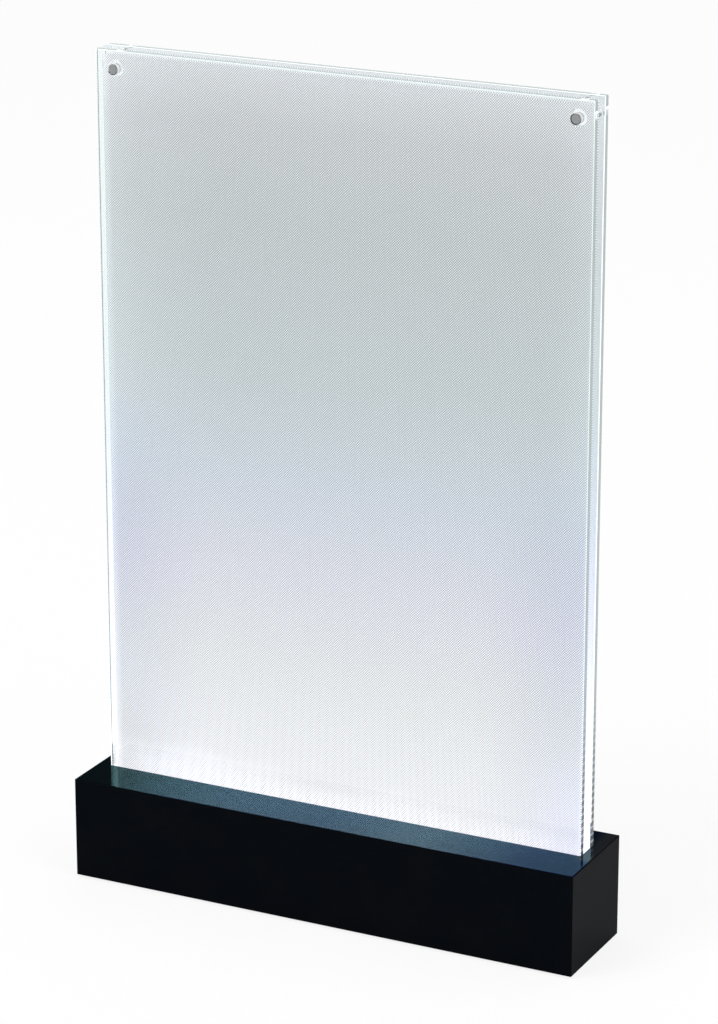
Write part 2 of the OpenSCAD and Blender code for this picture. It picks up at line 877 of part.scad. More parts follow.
// Two leads from the switch blades to their plug
module switch_leads() {
  color([0.08, 0.08, 0.09])
  for (s = [-1, 1]) {
    x = switch_x + s * blade_x;
    y = switch_plug_y + s * lead_pitch / 2;
    lead([
      [x, recess_y - body_l - blade_l, control_z], [x, y, control_z],
      [board_x0 - 5, y, plug_z], [board_x0 + plug_in, y, plug_z]
    ], [0, 0, 1]);
  }
}

// Two leads from the light strip down through the cradle to their plug
module strip_leads() {
  color([0.9, 0.9, 0.88])
  for (s = [-1, 1]) {
    y = guide_mid + s * lead_pitch / 2;
    z = strip_z + strip_t / 2;
    lead([
      [strip_half, y, z], [lead_hole_x, y, z], [lead_hole_x, y, cradle_z - 1],
      [lead_hole_x, y, plug_z], [board_x1 - plug_in, y, plug_z]
    ], [0, 1, 0]);
  }
}

// Steel bar that keeps the tall panels from tipping
module steel_weight() {
  color([0.42, 0.42, 0.43])
  difference() {
    translate([-weight_l / 2, weight_y0, plate_z])
      cube([weight_l, weight_w, weight_h]);
    for (s = [-1, 1])
      translate([s * weight_screw_x, weight_y0 + weight_w / 2, plate_z - over])
        cylinder(h = over + weight_grip + 2 * tip_room, d = screw_d + 2 * screw_gap);
  }
}

// Two countersunk screws that hold the bar
module weight_screws() {
  color([0.35, 0.35, 0.37])
  for (s = [-1, 1])
    translate([s * weight_screw_x, weight_y0 + weight_w / 2, foot_proud + head_sink])
      sunk_screw(screw_d, screw_head, floor_t + weight_grip);
}

base_housing();
bottom_cover();
cover_screws();
rubber_feet();
panel_cradle();
cradle_screws();
light_strip_board();
light_chips();
light_guide();
front_cover();
rear_cover();
guide_magnets();
front_magnets();
rear_magnets();
control_board();
board_parts();
board_connectors();
board_screws();
socket_shell();
socket_core();
charge_light_pipe();
switch_body();
switch_rocker();
switch_terminals();
battery_pack();
battery_pads();
battery_leads();
switch_leads();
strip_leads();
steel_weight();
weight_screws();
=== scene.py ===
# %% [markdown]
# # A lit poster display for a table
#
# The real object is a plain black box with three upright sheets of acrylic standing in a slot along its top.
# The middle sheet is a light guide: a row of small lamps shines into its foot, and a lattice of tiny printed
# dots turns that light out through its faces. A clear cover lies on each side, held by small round magnets in
# the top corners, and a poster goes between the guide and a cover. On the back of the box are a rocker
# switch, a charging socket and a small indicator.
#
# All solids are already packed as a fixed frame. This lesson gives each of them its finish, adds the thin
# things that belong to surfaces, and sets up the studio. Nothing here changes a size.

import json
import math

import bmesh
import bpy
from mathutils import Matrix, Vector


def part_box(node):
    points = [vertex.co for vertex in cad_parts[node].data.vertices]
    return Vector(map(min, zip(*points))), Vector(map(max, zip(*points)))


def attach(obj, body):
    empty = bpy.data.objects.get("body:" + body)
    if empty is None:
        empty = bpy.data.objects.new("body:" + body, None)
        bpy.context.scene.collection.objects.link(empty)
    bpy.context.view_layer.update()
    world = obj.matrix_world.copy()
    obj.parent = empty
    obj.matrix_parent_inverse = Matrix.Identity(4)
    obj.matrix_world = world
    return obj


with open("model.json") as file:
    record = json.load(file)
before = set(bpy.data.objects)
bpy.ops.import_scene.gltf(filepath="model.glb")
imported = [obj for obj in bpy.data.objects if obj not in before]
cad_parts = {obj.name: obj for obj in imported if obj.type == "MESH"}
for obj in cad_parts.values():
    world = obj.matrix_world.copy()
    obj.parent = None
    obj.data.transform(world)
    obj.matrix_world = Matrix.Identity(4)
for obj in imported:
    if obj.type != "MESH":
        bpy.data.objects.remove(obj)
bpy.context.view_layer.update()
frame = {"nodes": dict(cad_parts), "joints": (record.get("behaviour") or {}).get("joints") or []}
nodes = frame["nodes"]
MM = 0.001

# %% [markdown]
# ## Sums of sockets
#
# A pattern such as a dot lattice is a formula in x and z. Placing a Math node by hand for each sign in the
# formula soon gets hard to read, so one small class wraps an output socket and turns Python's own operators
# into Math nodes. The reflected forms are there too, so that `1 - mask` works as well as `mask - 1`. A few
# named shapes come with it: a wave, a soft step up, a soft step down and a pattern that repeats.

# %% A socket with operators
class Wire:
    def __init__(self, graph, socket):
        self.graph, self.socket = graph, socket

    def math(self, operation, *others):
        values = dict(enumerate((self,) + others))
        return self.graph.add("ShaderNodeMath", {"operation": operation}, values)[0]

    def __add__(self, other):
        return self.math("ADD", other)

    __radd__ = __add__

    def __mul__(self, other):
        return self.math("MULTIPLY", other)

    __rmul__ = __mul__

    def __sub__(self, other):
        return self.math("SUBTRACT", other)

    def __rsub__(self, other):
        return self.graph.add("ShaderNodeMath", {"operation": "SUBTRACT"}, {0: other, 1: self})[0]

    def __truediv__(self, other):
        return self.math("DIVIDE", other)

    def __abs__(self):
        return self.math("ABSOLUTE")

    def wave(self, step):
        """A cosine: 1 at every whole step and -1 halfway between."""
        return (self * (2 * math.pi / step)).math("COSINE")

    def rise(self, low, high):
        """0 below low, 1 above high and a soft step between them."""
        values = {"Value": self, "From Min": low, "From Max": high, "To Min": 0.0, "To Max": 1.0}
        settings = {"interpolation_type": "SMOOTHSTEP"}
        return self.graph.add("ShaderNodeMapRange", settings, values)["Result"]

    def fall(self, low, high):
        """1 below low, 0 above high."""
        return 1 - self.rise(low, high)

    def repeat(self, step):
        """The distance to the middle of the nearest of many equal steps."""
        return abs(self.math("FLOORED_MODULO", step) - step / 2)


print("operators ready")

# %% [markdown]
# ## One way to add a node
#
# Every node below, in materials and in Geometry Nodes trees alike, comes from one method. It sets the node's
# own settings first, because a setting such as an operation decides which sockets there are, and then fills
# the sockets with plain values or with wires.

# %% A graph that adds nodes
class Made:
    """A node that was added; its outputs come out as wires, by name or number."""

    def __init__(self, graph, node):
        self.graph, self.node = graph, node

    def __getitem__(self, key):
        return Wire(self.graph, self.node.outputs[key])


class Graph:
    def __init__(self, tree):
        self.tree = tree

    def add(self, kind, settings=None, sockets=None):
        node = self.tree.nodes.new(kind)
        for name, value in (settings or {}).items():
            if name == "stops":
                ramp = node.color_ramp
                while len(ramp.elements) < len(value):
                    ramp.elements.new(0.5)
                for element, (place, colour) in zip(ramp.elements, value):
                    element.position = place
                    element.color = colour + (1.0,)
            else:
                setattr(node, name, value)
        for name, value in (sockets or {}).items():
            if isinstance(value, Wire):
                self.tree.links.new(value.socket, node.inputs[name])
            else:
                node.inputs[name].default_value = value
        return Made(self, node)


print("graph ready")

# %% [markdown]
# ## What a finish is
#
# A finish is one material with a Principled shader. Numbers that are the same all over are written straight
# on the shader's sockets. What changes over the surface reads Object coordinates: every solid of the frame
# sits at the origin, so these are simply metres in the object's own frame, and a pattern can be placed with a
# ruler.

# %% A finish with its helpers
class Finish(Graph):
    def __init__(self, name, **plain):
        self.material = bpy.data.materials.new(name)
        self.material.use_nodes = True
        super().__init__(self.material.node_tree)
        self.tree.nodes.clear()
        constants = {key.replace("_", " "): value for key, value in plain.items()}
        self.shader = self.add("ShaderNodeBsdfPrincipled", sockets=constants)
        self.end = self.add("ShaderNodeOutputMaterial", sockets={"Surface": self.shader["BSDF"]})
        self.place = self.add("ShaderNodeTexCoord")["Object"]
        parts = self.add("ShaderNodeSeparateXYZ", sockets={"Vector": self.place})
        self.x, self.y, self.z = parts["X"], parts["Y"], parts["Z"]

    def vary(self, **wires):
        for name, wire in wires.items():
            self.tree.links.new(wire.socket, self.shader.node.inputs[name.replace("_", " ")])
        return self

    def stretched(self, x, y, z):
        """Object coordinates, stretched per axis, for brushed or drawn surfaces."""
        return self.add("ShaderNodeMapping", sockets={"Vector": self.place, "Scale": (x, y, z)})["Vector"]

    def noise(self, per_metre, detail=3.0, where=None):
        values = {"Vector": where or self.place, "Scale": per_metre, "Detail": detail}
        return self.add("ShaderNodeTexNoise", sockets=values)["Fac"]

    def cells(self, per_metre):
        """Distance to the nearest of many scattered points, in cells."""
        values = {"Vector": self.place, "Scale": per_metre}
        return self.add("ShaderNodeTexVoronoi", sockets=values)["Distance"]

    def length(self, **parts):
        """How long the vector with these parts is: a distance from a point or an axis."""
        vector = self.add("ShaderNodeCombineXYZ", sockets=parts)["Vector"]
        return self.add("ShaderNodeVectorMath", {"operation": "LENGTH"}, {0: vector})["Value"]

    def mix(self, share, first, second):
        """A colour between two colours."""
        def full(colour):
            return colour if isinstance(colour, Wire) else tuple(colour) + (1.0,)
        values = {0: share, 6: full(first), 7: full(second)}
        return self.add("ShaderNodeMix", {"data_type": "RGBA"}, values)[2]

    def ramp(self, share, stops):
        return self.add("ShaderNodeValToRGB", {"stops": stops}, {"Fac": share})["Color"]

    def bump(self, height, depth):
        values = {"Height": height, "Strength": 1.0, "Distance": depth}
        return self.add("ShaderNodeBump", sockets=values)["Normal"]


def grey(level):
    return (level, level, level)


def dress(finish, *names):
    """Puts a finish on solids of the frame, whose meshes stay as they are."""
    for name in names:
        for slot in nodes[name].material_slots:
            slot.material = finish.material
    print("dressed", len(names), "with", finish.material.name)


print("finishes ready")

# %% [markdown]
# ## The black box
#
# The box is moulded gloss black. Seen square on it is nearly as dark as a hole, and only at a low angle does
# it turn into a mirror: on the ledge in front of the panel the lit sheet is mirrored with a cold blue cast. A
# plain dielectric mirrors every colour alike at low angles, so the polished top takes the metallic branch of
# the shader, where the mirror image can be given a colour, and its low angles a tint with less red; that blue
# mirror colour is a painted reflection colour. The walls stay a dielectric with a weak gloss. The mirror's
# colour is a ramp along the box, brightest right of the middle and dark towards both ends, and the ends are a
# little less metallic: a painted reflection that sets how bright the mirrored sheet is along the ledge.
# Beside the sheets, the right end of the top has a greyer mirror colour. Smudges in the roughness and a
# little dust keep the rest from looking like ink.

# %% Gloss black moulding
base_low, base_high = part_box("base_housing")
top_z = base_high.z
gloss_black = Finish("gloss_black_moulding", Specular_IOR_Level=0.014, Specular_Tint=(0.72, 1.0, 1.0, 1.0))
smudge = gloss_black.noise(38.0, 4.0).rise(0.42, 0.72)
speck = gloss_black.cells(420.0).fall(0.035, 0.06) * gloss_black.noise(55.0, 2.0).rise(0.58, 0.66)
polished = gloss_black.z.rise(top_z - 0.08 * MM, top_z - 0.02 * MM)
wall = gloss_black.mix(smudge, (0.0019, 0.0025, 0.0039), (0.0026, 0.0031, 0.0045))
along = (gloss_black.x - base_low.x) / (base_high.x - base_low.x)
# Painted reflection: the mirror colour of the polished top, ramped along the box so the mirrored sheet is
# brightest right of the middle and dark at both ends.
painted_reflection_ramp = gloss_black.ramp(along, [
    (0.07, (0.000, 0.000, 0.006)),
    (0.30, (0.030, 0.039, 0.086)),
    (0.50, (0.036, 0.045, 0.102)),
    (0.69, (0.061, 0.077, 0.120)),
    (0.88, (0.005, 0.002, 0.056)),
    (0.96, (0.000, 0.000, 0.040)),
])
ends = abs(along - 0.5).rise(0.33, 0.44)
# A greyer mirror colour at the right end of the top, beside the sheets, inside the painted reflection.
right_end_patch = along.rise(0.96, 0.985) * gloss_black.y.rise(-10.0 * MM, -4.0 * MM)
painted_reflection_on_top = gloss_black.mix(right_end_patch, painted_reflection_ramp, (0.043, 0.038, 0.050))
top_or_wall = gloss_black.mix(polished, wall, painted_reflection_on_top)
gloss_black.vary(
    Base_Color=gloss_black.mix(speck, top_or_wall, grey(0.012)),
    Roughness=0.03 + 0.04 * smudge - 0.02 * polished * (1 + smudge),
    Metallic=polished * (1 - 0.2 * ends),
    Normal=gloss_black.bump(gloss_black.noise(260.0, 1.0) * (1 - 0.9 * polished), 0.003 * MM),
)
dress(gloss_black, "base_housing")

# %% [markdown]
# ## Grained black plastic
#
# The bottom cover, the switch and the tongue of the socket are black too, but their mould was spark eroded: a
# fine grain of about a third of a millimetre that scatters light. Scattered cells make such a grain; a noise
# makes it uneven.

# %% Fine grain
grained_black = Finish("grained_black_moulding", Specular_IOR_Level=0.35)
grain = grained_black.cells(3200.0)
patch = grained_black.noise(90.0)
grained_black.vary(
    Base_Color=grained_black.mix(patch, grey(0.010), (0.019, 0.019, 0.021)),
    Roughness=0.46 + 0.16 * grain,
    Normal=grained_black.bump(grain, 0.03 * MM),
)
dress(grained_black, "bottom_cover", "switch_body", "switch_rocker", "socket_core")

# %% [markdown]
# ## Rubber feet
#
# Moulded rubber is matt, a little lighter where it has been rubbed, and speckled with talc. A noise rubs it,
# and scattered cells set the specks, only where it is rubbed.

# %% Foot rubber
foot_rubber = Finish("foot_rubber", Specular_IOR_Level=0.25)
rubbed = foot_rubber.noise(420.0, 5.0)
talc = foot_rubber.cells(1500.0).fall(0.10, 0.22)
bare_rubber = foot_rubber.mix(rubbed, grey(0.014), grey(0.035))
foot_rubber.vary(
    Base_Color=foot_rubber.mix(talc * rubbed, bare_rubber, grey(0.12)),
    Roughness=0.72 + 0.2 * rubbed,
    Normal=foot_rubber.bump(foot_rubber.noise(2600.0, 2.0), 0.03 * MM),
)
dress(foot_rubber, "rubber_feet")

# %% [markdown]
# ## Rulers on the panel
#
# Everything that glows is placed by its height on the panel or by its distance from a side. Small functions
# measure these from the guide's own box, so the light follows the sheet if its size changes.

# %% Height and distances
guide_low, guide_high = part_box("light_guide")
lit_h = guide_high.z - top_z


def height_on_panel(finish):
    """0 at the top of the box and 1 at the panel's upper edge."""
    return (finish.z - top_z) / lit_h


def from_left(finish):
    return finish.x - guide_low.x


def from_right(finish):
    return guide_high.x - finish.x


def from_sides(finish):
    return guide_high.x - abs(finish.x)


print("lit height in mm:", round(lit_h / MM, 1))

# %% [markdown]
# ## Clear acrylic
#
# The covers are cast acrylic, 3 mm thick. It is glass with a lower index, 1.49, and a faint sea-green body
# that only shows along an edge. Light that strays into a sheet runs on inside it and comes out where the
# sheet was cut, so the cut edges glow; here that glow is painted light, an emission held to the outermost few
# tenths of a millimetre. Near the foot the cutter left marks 3 mm apart, which are dark against the lamps'
# light, and the guide's unprinted left margin gets a painted glow of its own for the light it would catch.
# Following all that light through dozens of inner reflections would take far more samples than the glow is
# worth.

# %% Clear acrylic with glowing cut edges
rim = 0.34 * MM
mark_pitch = 3.0 * MM
edge_margin = 2.0 * MM


def clear(name, body, painted_glow_low, painted_glow_high, mark, inward, painted_margin_glow):
    """mark: how dark the cutter marks are; inward: the glow from within; painted_margin_glow: the left margin's."""
    finish = Finish(name, IOR=1.49, Transmission_Weight=1.0, Specular_Tint=grey(0.6) + (1.0,),
                    Emission_Strength=1.0)
    height = height_on_panel(finish)
    side = from_sides(finish).fall(0.3 * rim, rim)
    cut = side.math("MAXIMUM", (guide_high.z - finish.z).fall(0.3 * rim, rim))
    stroke = finish.z.wave(mark_pitch).rise(0.1, 0.8)
    marks = 1 - mark * height.fall(0.04, 0.24) * (1 - stroke)
    leaving = 1 - (1 - inward) * finish.add("ShaderNodeNewGeometry")["Backfacing"]
    margin = from_left(finish).fall(0.8 * edge_margin, edge_margin)
    # Painted light: a glow on the guide's unprinted left margin, low on the panel.
    painted_margin_spill = finish.mix(painted_margin_glow * margin * height.fall(0.02, 0.12), grey(0.0), grey(1.0))
    # Painted light: the cut edges' glow, an emission that stands for light carried in from the guide.
    glow = finish.mix(height.rise(0.0, 0.6), painted_glow_low, painted_glow_high)
    hairline = finish.noise(1.0, 2.0, finish.stretched(900.0, 900.0, 25.0)).rise(0.62, 0.75)
    finish.vary(
        Base_Color=finish.mix(hairline, body, [0.985 * c for c in body]),
        Roughness=0.004 + 0.02 * hairline,
        Emission_Color=finish.mix(cut * marks * leaving, painted_margin_spill, glow),
    )
    return finish


cover_acrylic = clear(
    "cover_acrylic", body=(0.965, 0.99, 0.985), painted_glow_low=(0.34, 0.38, 0.41), painted_glow_high=(0.35, 0.41, 0.405),
    mark=0.75, inward=0.0, painted_margin_glow=0.0)
dress(cover_acrylic, "front_cover", "rear_cover")
guide_acrylic = clear(
    "guide_acrylic", body=(0.975, 0.99, 0.995), painted_glow_low=(0.28, 0.31, 0.33), painted_glow_high=(0.0, 0.024, 0.024),
    mark=0.0, inward=1.0, painted_margin_glow=0.3)
dress(guide_acrylic, "light_guide")

# %% [markdown]
# ## The indicator pin
#
# A short clear pin carries the light of a tiny lamp through the back wall. It is moulded, so its body is a
# little cloudy and flow lines run along it: a noise stretched along the pin.

# %% Cloudy clear pin
pin_clear = Finish("clear_pin", IOR=1.49, Transmission_Weight=0.85)
flow = pin_clear.noise(1.0, 3.0, pin_clear.stretched(2500.0, 400.0, 2500.0))
pin_clear.vary(
    Base_Color=pin_clear.mix(flow, (0.80, 0.88, 0.84), (0.93, 0.97, 0.95)),
    Roughness=0.08 + 0.12 * flow,
)
dress(pin_clear, "charge_light_pipe")

# %% [markdown]
# ## Trees that grow meshes
#
# Small things that repeat come from Geometry Nodes. Every tree starts with named inputs for its sizes and
# ends by realizing its instances and setting a material, so these two ends are written once.

# %% Both ends of a tree
def started(name, **inputs):
    """A new tree with these inputs: its graph, and the node that gives the inputs."""
    tree = bpy.data.node_groups.new(name, "GeometryNodeTree")
    for label, kind in inputs.items():
        tree.interface.new_socket(label.replace("_", " "), in_out="INPUT", socket_type="NodeSocket" + kind)
    tree.interface.new_socket("Geometry", in_out="OUTPUT", socket_type="NodeSocketGeometry")
    graph = Graph(tree)
    return graph, graph.add("NodeGroupInput")


def joined(graph, *shapes):
    join = graph.add("GeometryNodeJoinGeometry")
    for shape in shapes:
        graph.tree.links.new(shape.socket, join.node.inputs[0])
    return join["Geometry"]


def ended(graph, shape, material):
    whole = graph.add("GeometryNodeRealizeInstances", sockets={"Geometry": shape})
    sockets = {"Geometry": whole["Geometry"], "Material": material}
    painted = graph.add("GeometryNodeSetMaterial", sockets=sockets)
    graph.add("NodeGroupOutput", sockets={"Geometry": painted["Geometry"]})
    return graph.tree


print("trees ready")

# %% [markdown]
# ## Turning a tree into a plain mesh
#
# A tree runs on an object as a modifier. Its inputs are set by the sockets' identifiers, before anything is
# evaluated. The evaluated result is copied into a mesh of its own and the carrier is deleted, so no modifier
# is left. The piece then rides on its body, and its finish is the material that the tree sets.

# %% Grow a mesh from a tree
def grown(name, tree, **values):
    carrier = bpy.data.objects.new(name + "_carrier", bpy.data.meshes.new(name + "_seed"))
    bpy.context.scene.collection.objects.link(carrier)
    modifier = carrier.modifiers.new("grow", "NODES")
    modifier.node_group = tree
    for item in tree.interface.items_tree:
        if item.in_out == "INPUT":
            modifier[item.identifier] = values[item.name.replace(" ", "_")]
    graph = bpy.context.evaluated_depsgraph_get()
    mesh = bpy.data.meshes.new_from_object(carrier.evaluated_get(graph), depsgraph=graph)
    mesh.name = name
    bpy.data.objects.remove(carrier)
    piece = bpy.data.objects.new(name, mesh)
    bpy.context.scene.collection.objects.link(piece)
    print("grown", name, "faces:", len(mesh.polygons))
    return piece


def settle(piece, body):
    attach(piece, body)


print("carrier ready")

# %% [markdown]
# ## The printed layer
#
# The guide carries its print on both faces. It stops short of the sheet's edges and leaves a round window at
# each magnet. The layer is a sheet of its own just under the acrylic's skin, so that the acrylic's gloss
# stays in front of it. Its outline is a rectangle with holes: in Geometry Nodes that is a rectangle curve
# joined with circles, then Fill Curve, which leaves out what lies inside twice.

# %% Outline of the print
magnet_low, magnet_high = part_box("guide_magnets")
magnet_r = (magnet_high.z - magnet_low.z) / 2
magnet_x = magnet_high.x - magnet_r
magnet_z = (magnet_low.z + magnet_high.z) / 2
window_r = magnet_r + 1.5 * MM


def print_tree(material):
    graph, given = started("printed_layer", Width="Float", Height="Float", Window_Radius="Float",
                           Window_Across="Float", Window_Up="Float")
    outline = graph.add("GeometryNodeCurvePrimitiveQuadrilateral", {"mode": "RECTANGLE"},
                        {"Width": given["Width"], "Height": given["Height"]})
    curves = [outline["Curve"]]
    for side in (-1, 1):
        ring = graph.add("GeometryNodeCurvePrimitiveCircle", {"mode": "RADIUS"},
                         {"Resolution": 48, "Radius": given["Window Radius"]})
        middle = {"X": given["Window Across"] * side, "Y": given["Window Up"]}
        where = graph.add("ShaderNodeCombineXYZ", sockets=middle)["Vector"]
        moved = graph.add("GeometryNodeTransform", sockets={"Geometry": ring["Curve"], "Translation": where})
        curves.append(moved["Geometry"])
    filled = graph.add("GeometryNodeFillCurve", sockets={"Curve": joined(graph, *curves)})
    return ended(graph, filled["Mesh"], material)


print("window radius in mm:", round(window_r / MM, 2))

# %% [markdown]
# ## The dot lattice
#
# The dots stand about a millimetre apart, each row shifted by half a step. The product of two cosines, one
# across and one up, peaks at the corners and in the middle of each square cell, which is just such a
# staggered lattice, and a soft step turns the peaks into dots.

# %% Dots
cell_w = 1.02 * MM


def lattice(finish):
    """1 on a dot and 0 between the dots."""
    return (finish.x.wave(cell_w) * finish.z.wave(cell_w)).rise(-0.5, 0.7)


print("dots per square centimetre:", round(2 * (10 * MM / cell_w) ** 2))

# %% [markdown]
# ## How the light fades
#
# Close to the slot the print glows almost white. Higher up it turns a cool lavender grey, then a neutral
# grey, and it lightens again near the top, where light that ran through the sheet is thrown back. A colour
# ramp over the height gives that fade.

# %% Fade over the height
fade = [
    (0.00, (0.77, 0.74, 0.77)),
    (0.20, (0.633, 0.628, 0.653)),
    (0.30, (0.585, 0.568, 0.640)),
    (0.45, (0.477, 0.505, 0.57)),
    (0.60, (0.42, 0.453, 0.475)),
    (0.80, (0.405, 0.425, 0.435)),
    (0.92, (0.44, 0.445, 0.465)),
    (1.00, (0.54, 0.54, 0.56)),
]
print("stops in the fade:", len(fade))

# %% [markdown]
# ## Where the light is uneven
#
# Just above the slot the light flares: a soft lobe above each lamp, a broad one towards the left, and a reach
# that wanders a little along the sheet. The dots stand out most in that flare. Towards the sides the middle
# of the sheet is a little darker and its upper part lighter, the lower right corner is cooler than the left
# one, and a thin line of light runs down the left end of the print. Each of these is one soft step, so the
# level is a short sum.

# %% Level of the glow
chip_pitch = 10.0 * MM


def glow_level(finish, dot):
    """How bright the print is against the fade, as a vector for red, green and blue."""
    height = height_on_panel(finish)
    left, right, sides = from_left(finish), from_right(finish), from_sides(finish)
    lobe = 0.5 + 0.5 * finish.x.wave(chip_pitch)
    left_lobe = left.fall(30 * MM, 85 * MM)
    reach = height - 0.05 * (finish.noise(26.0, 2.0) - 0.5) - 0.012 * left_lobe
    flare = reach.fall(0.0, 0.045) * (1 - 0.5 * sides.fall(3 * MM, 21 * MM))
    contrast = 0.34 + 0.26 * height.rise(0.0, 0.28) + (1.0 - 0.3 * left_lobe) * flare * flare
    upper = height.rise(0.30, 0.62)
    edges = upper * (0.08 * sides.fall(1 * MM, 19 * MM) + 0.09 * left.fall(1 * MM, 55 * MM))
    end_line = 0.22 * left.fall(2 * MM, 5.5 * MM)
    level = 1 + contrast * (dot - 0.5) + flare * (0.22 + 0.04 * lobe + 0.05 * left_lobe) + edges + end_line
    shade = (1 - upper) * sides.fall(5 * MM, 50 * MM)
    corner = height.fall(0.05, 0.16) * (right.fall(1 * MM, 30 * MM) - left.fall(1 * MM, 30 * MM))
    return finish.add("ShaderNodeCombineXYZ", sockets={
        "X": level - 0.11 * shade + 0.05 * corner,
        "Y": level - 0.095 * shade + 0.05 * corner,
        "Z": level - 0.035 * shade + 0.10 * corner,
    })["Vector"]


print("lobes along the print:", round((guide_high.x - guide_low.x) / chip_pitch))

# %% [markdown]
# ## Both prints
#
# The ink itself is white on a grey ground, so the print has something to show when no light is in it. Its
# glow is an emission: the fade times the level. The mesh grows in the x and y plane and is then stood
# upright, one sheet just inside each face of the guide, with its normals turned outwards.

# %% Print on both faces
def lit_print(name):
    finish = Finish(name, Roughness=0.6, Specular_IOR_Level=0.1, Emission_Strength=1.0)
    dot = lattice(finish)
    colour = finish.ramp(height_on_panel(finish), fade)
    factors = {0: colour, 1: glow_level(finish, dot)}
    glow = finish.add("ShaderNodeVectorMath", {"operation": "MULTIPLY"}, factors)["Vector"]
    ink = finish.mix(dot, (0.14, 0.15, 0.155), (0.52, 0.54, 0.55))
    return finish.vary(Base_Color=ink, Emission_Color=glow)


def printed_layer(name, y, facing):
    middle_z = (guide_high.z + guide_low.z) / 2
    piece = grown(
        name, print_tree(lit_print(name + "_ink").material),
        Width=guide_high.x - guide_low.x - 2 * edge_margin,
        Height=guide_high.z - guide_low.z - 2 * edge_margin,
        Window_Radius=window_r, Window_Across=magnet_x, Window_Up=magnet_z - middle_z)
    for v in piece.data.vertices:
        v.co = (v.co.x, y, v.co.y + middle_z)
    work = bmesh.new()
    work.from_mesh(piece.data)
    bmesh.ops.reverse_faces(work, faces=[f for f in work.faces if f.normal.y * facing < 0])
    work.to_mesh(piece.data)
    work.free()
    settle(piece, "base")


skin = 0.03 * MM
printed_layer("guide_print_front", guide_low.y + skin, -1)
printed_layer("guide_print_rear", guide_high.y - skin, 1)

# %% [markdown]
# ## Magnets
#
# Nickel plated discs, gone a little dull: a metal with a mid grey colour and fine turning marks round each
# disc's axis. The discs come in pairs either side of x = 0, so the rings are measured from the nearer one.

# %% Dull nickel
turning_step = 0.28 * MM
nickel = Finish("dull_nickel", Metallic=1.0)
from_disc = nickel.length(X=abs(nickel.x) - magnet_x, Z=nickel.z - magnet_z)
turned = 0.5 + 0.5 * from_disc.wave(turning_step)
dulled = nickel.noise(700.0, 4.0)
nickel.vary(
    Base_Color=nickel.mix(dulled, (0.24, 0.245, 0.25), (0.36, 0.365, 0.37)),
    Roughness=0.30 + 0.12 * dulled + 0.05 * turned,
    Normal=nickel.bump(turned, 0.004 * MM),
)
dress(nickel, "guide_magnets", "front_magnets", "rear_magnets")

# %% [markdown]
# ## Screws
#
# The screws are zinc plated steel: a bright metal with a faint blue and yellow bloom from the passivation and
# a roughness that varies with the crystals of the coat. Two noises of very different scale give both.

# %% Zinc plate
zinc = Finish("zinc_plate", Metallic=1.0)
bloom = zinc.noise(300.0, 2.0)
crystal = zinc.noise(5200.0, 3.0)
zinc.vary(
    Base_Color=zinc.mix(bloom.rise(0.35, 0.65), (0.50, 0.53, 0.58), (0.60, 0.57, 0.48)),
    Roughness=0.24 + 0.22 * crystal,
    Normal=zinc.bump(crystal, 0.006 * MM),
)
dress(zinc, "cover_screws", "cradle_screws", "board_screws", "weight_screws")

# %% [markdown]
# ## White cradle
#
# The cradle that holds the sheets' feet is moulded in a white that throws stray light back into the guide.
# Flow marks and a satin skin keep it from being a flat white.

# %% Reflecting white
cradle_white = Finish("reflecting_white", Specular_IOR_Level=0.4)
flow_mark = cradle_white.noise(1.0, 3.0, cradle_white.stretched(60.0, 260.0, 260.0))
satin = cradle_white.noise(2400.0, 2.0)
cradle_white.vary(
    Base_Color=cradle_white.mix(flow_mark, (0.76, 0.76, 0.73), (0.86, 0.86, 0.84)),
    Roughness=0.34 + 0.14 * satin,
    Normal=cradle_white.bump(satin, 0.012 * MM),
)
dress(cradle_white, "panel_cradle")

# %% [markdown]
# ## Light strip
#
# The lamps sit on a strip of aluminium with white lacquer. Two copper tracks run along it under the lacquer
# and show as slightly darker, raised bands; the sawn ends are bare metal. Both are masks measured from the
# strip's own box.

# %% White lacquer over tracks
strip_low, strip_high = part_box("light_strip_board")
strip_mid = (strip_low.y + strip_high.y) / 2
track_y = 1.9 * MM
strip_white = Finish("lacquered_strip", Specular_IOR_Level=0.5)
track = abs(abs(strip_white.y - strip_mid) - track_y).fall(0.25 * MM, 0.33 * MM)
bare = abs(strip_white.x).rise(strip_high.x - 0.05 * MM, strip_high.x - 0.02 * MM)
lacquer = strip_white.noise(900.0, 3.0)
painted = strip_white.mix(track, strip_white.mix(lacquer, grey(0.78), grey(0.86)), (0.70, 0.66, 0.58))
strip_white.vary(
    Base_Color=strip_white.mix(bare, painted, (0.60, 0.61, 0.62)),
    Metallic=bare,
    Roughness=0.26 + 0.16 * lacquer,
    Normal=strip_white.bump(track + 0.15 * lacquer, 0.03 * MM),
)
dress(strip_white, "light_strip_board")

# %% [markdown]
# ## Lamp chips
#
# Each chip is a white package with a round cup of yellow phosphor. The chips stand in a row at equal steps,
# so one distance, folded back at every step, finds the cup of each.

# %% Packages
chip_low, chip_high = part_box("light_chips")
chip_w = 3.5 * MM
chip_count = 1 + round((chip_high.x - chip_low.x - chip_w) / chip_pitch)
package_white = Finish("chip_package", Specular_IOR_Level=0.45)
chip_x = (package_white.x - chip_low.x + chip_pitch / 2 - chip_w / 2).repeat(chip_pitch)
cup = package_white.length(X=chip_x, Y=package_white.y - strip_mid).fall(1.15 * MM, 1.25 * MM)
speckle = package_white.noise(6000.0, 2.0)
shell = package_white.mix(speckle, grey(0.74), grey(0.84))
package_white.vary(
    Base_Color=package_white.mix(cup, shell, (0.82, 0.62, 0.12)),
    Roughness=0.38 + 0.12 * speckle,
)
dress(package_white, "light_chips")

